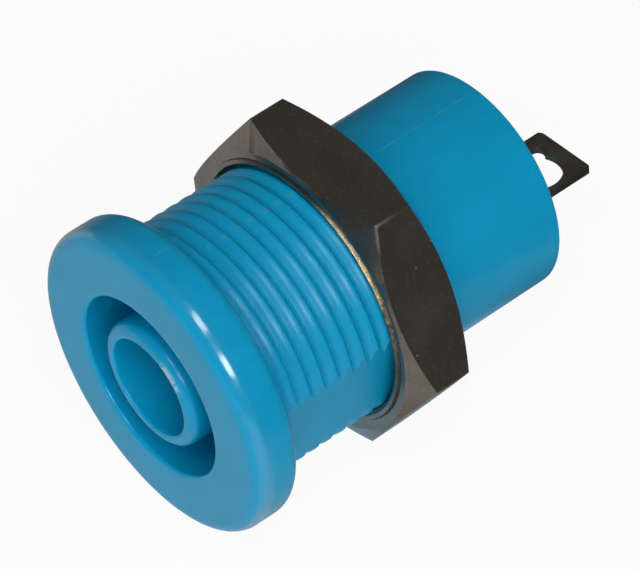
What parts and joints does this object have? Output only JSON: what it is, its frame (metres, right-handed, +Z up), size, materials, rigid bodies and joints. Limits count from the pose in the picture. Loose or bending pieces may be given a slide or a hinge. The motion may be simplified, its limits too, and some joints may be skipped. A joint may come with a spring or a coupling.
{
  "type": "banana socket",
  "caption": "Shrouded panel socket for a banana plug: round flange, threaded shank with a keying flat, guard tube in a ring gap, rolled contact with a solder tab, and a hexagon nut.",
  "frame": {"origin": "centre of the flange's back face, on the socket's axis, where the panel seats", "axes": "+Y along the socket's axis from the plug's mouth to the solder tab, +Z up with a flat of the nut straight down, +X to the right seen from the front"},
  "size_m": [0.0162, 0.0238, 0.0146],
  "materials": {
    "blue_plastic": "moulded, softly glossy light blue",
    "contact_metal": "plated sheet, dark and slightly tarnished",
    "nut_metal": "nickel plated, turned and milled"
  },
  "bodies": {
    "socket": {"insulating_body": "blue_plastic", "contact": "contact_metal"},
    "nut": {"hex_nut": "nut_metal"}
  },
  "joints": [
    {"name": "nut_travel", "type": "slide", "parent": "socket", "child": "nut", "axis": [0, 1, 0], "range_m": [-0.006, 0.003]}
  ]
}
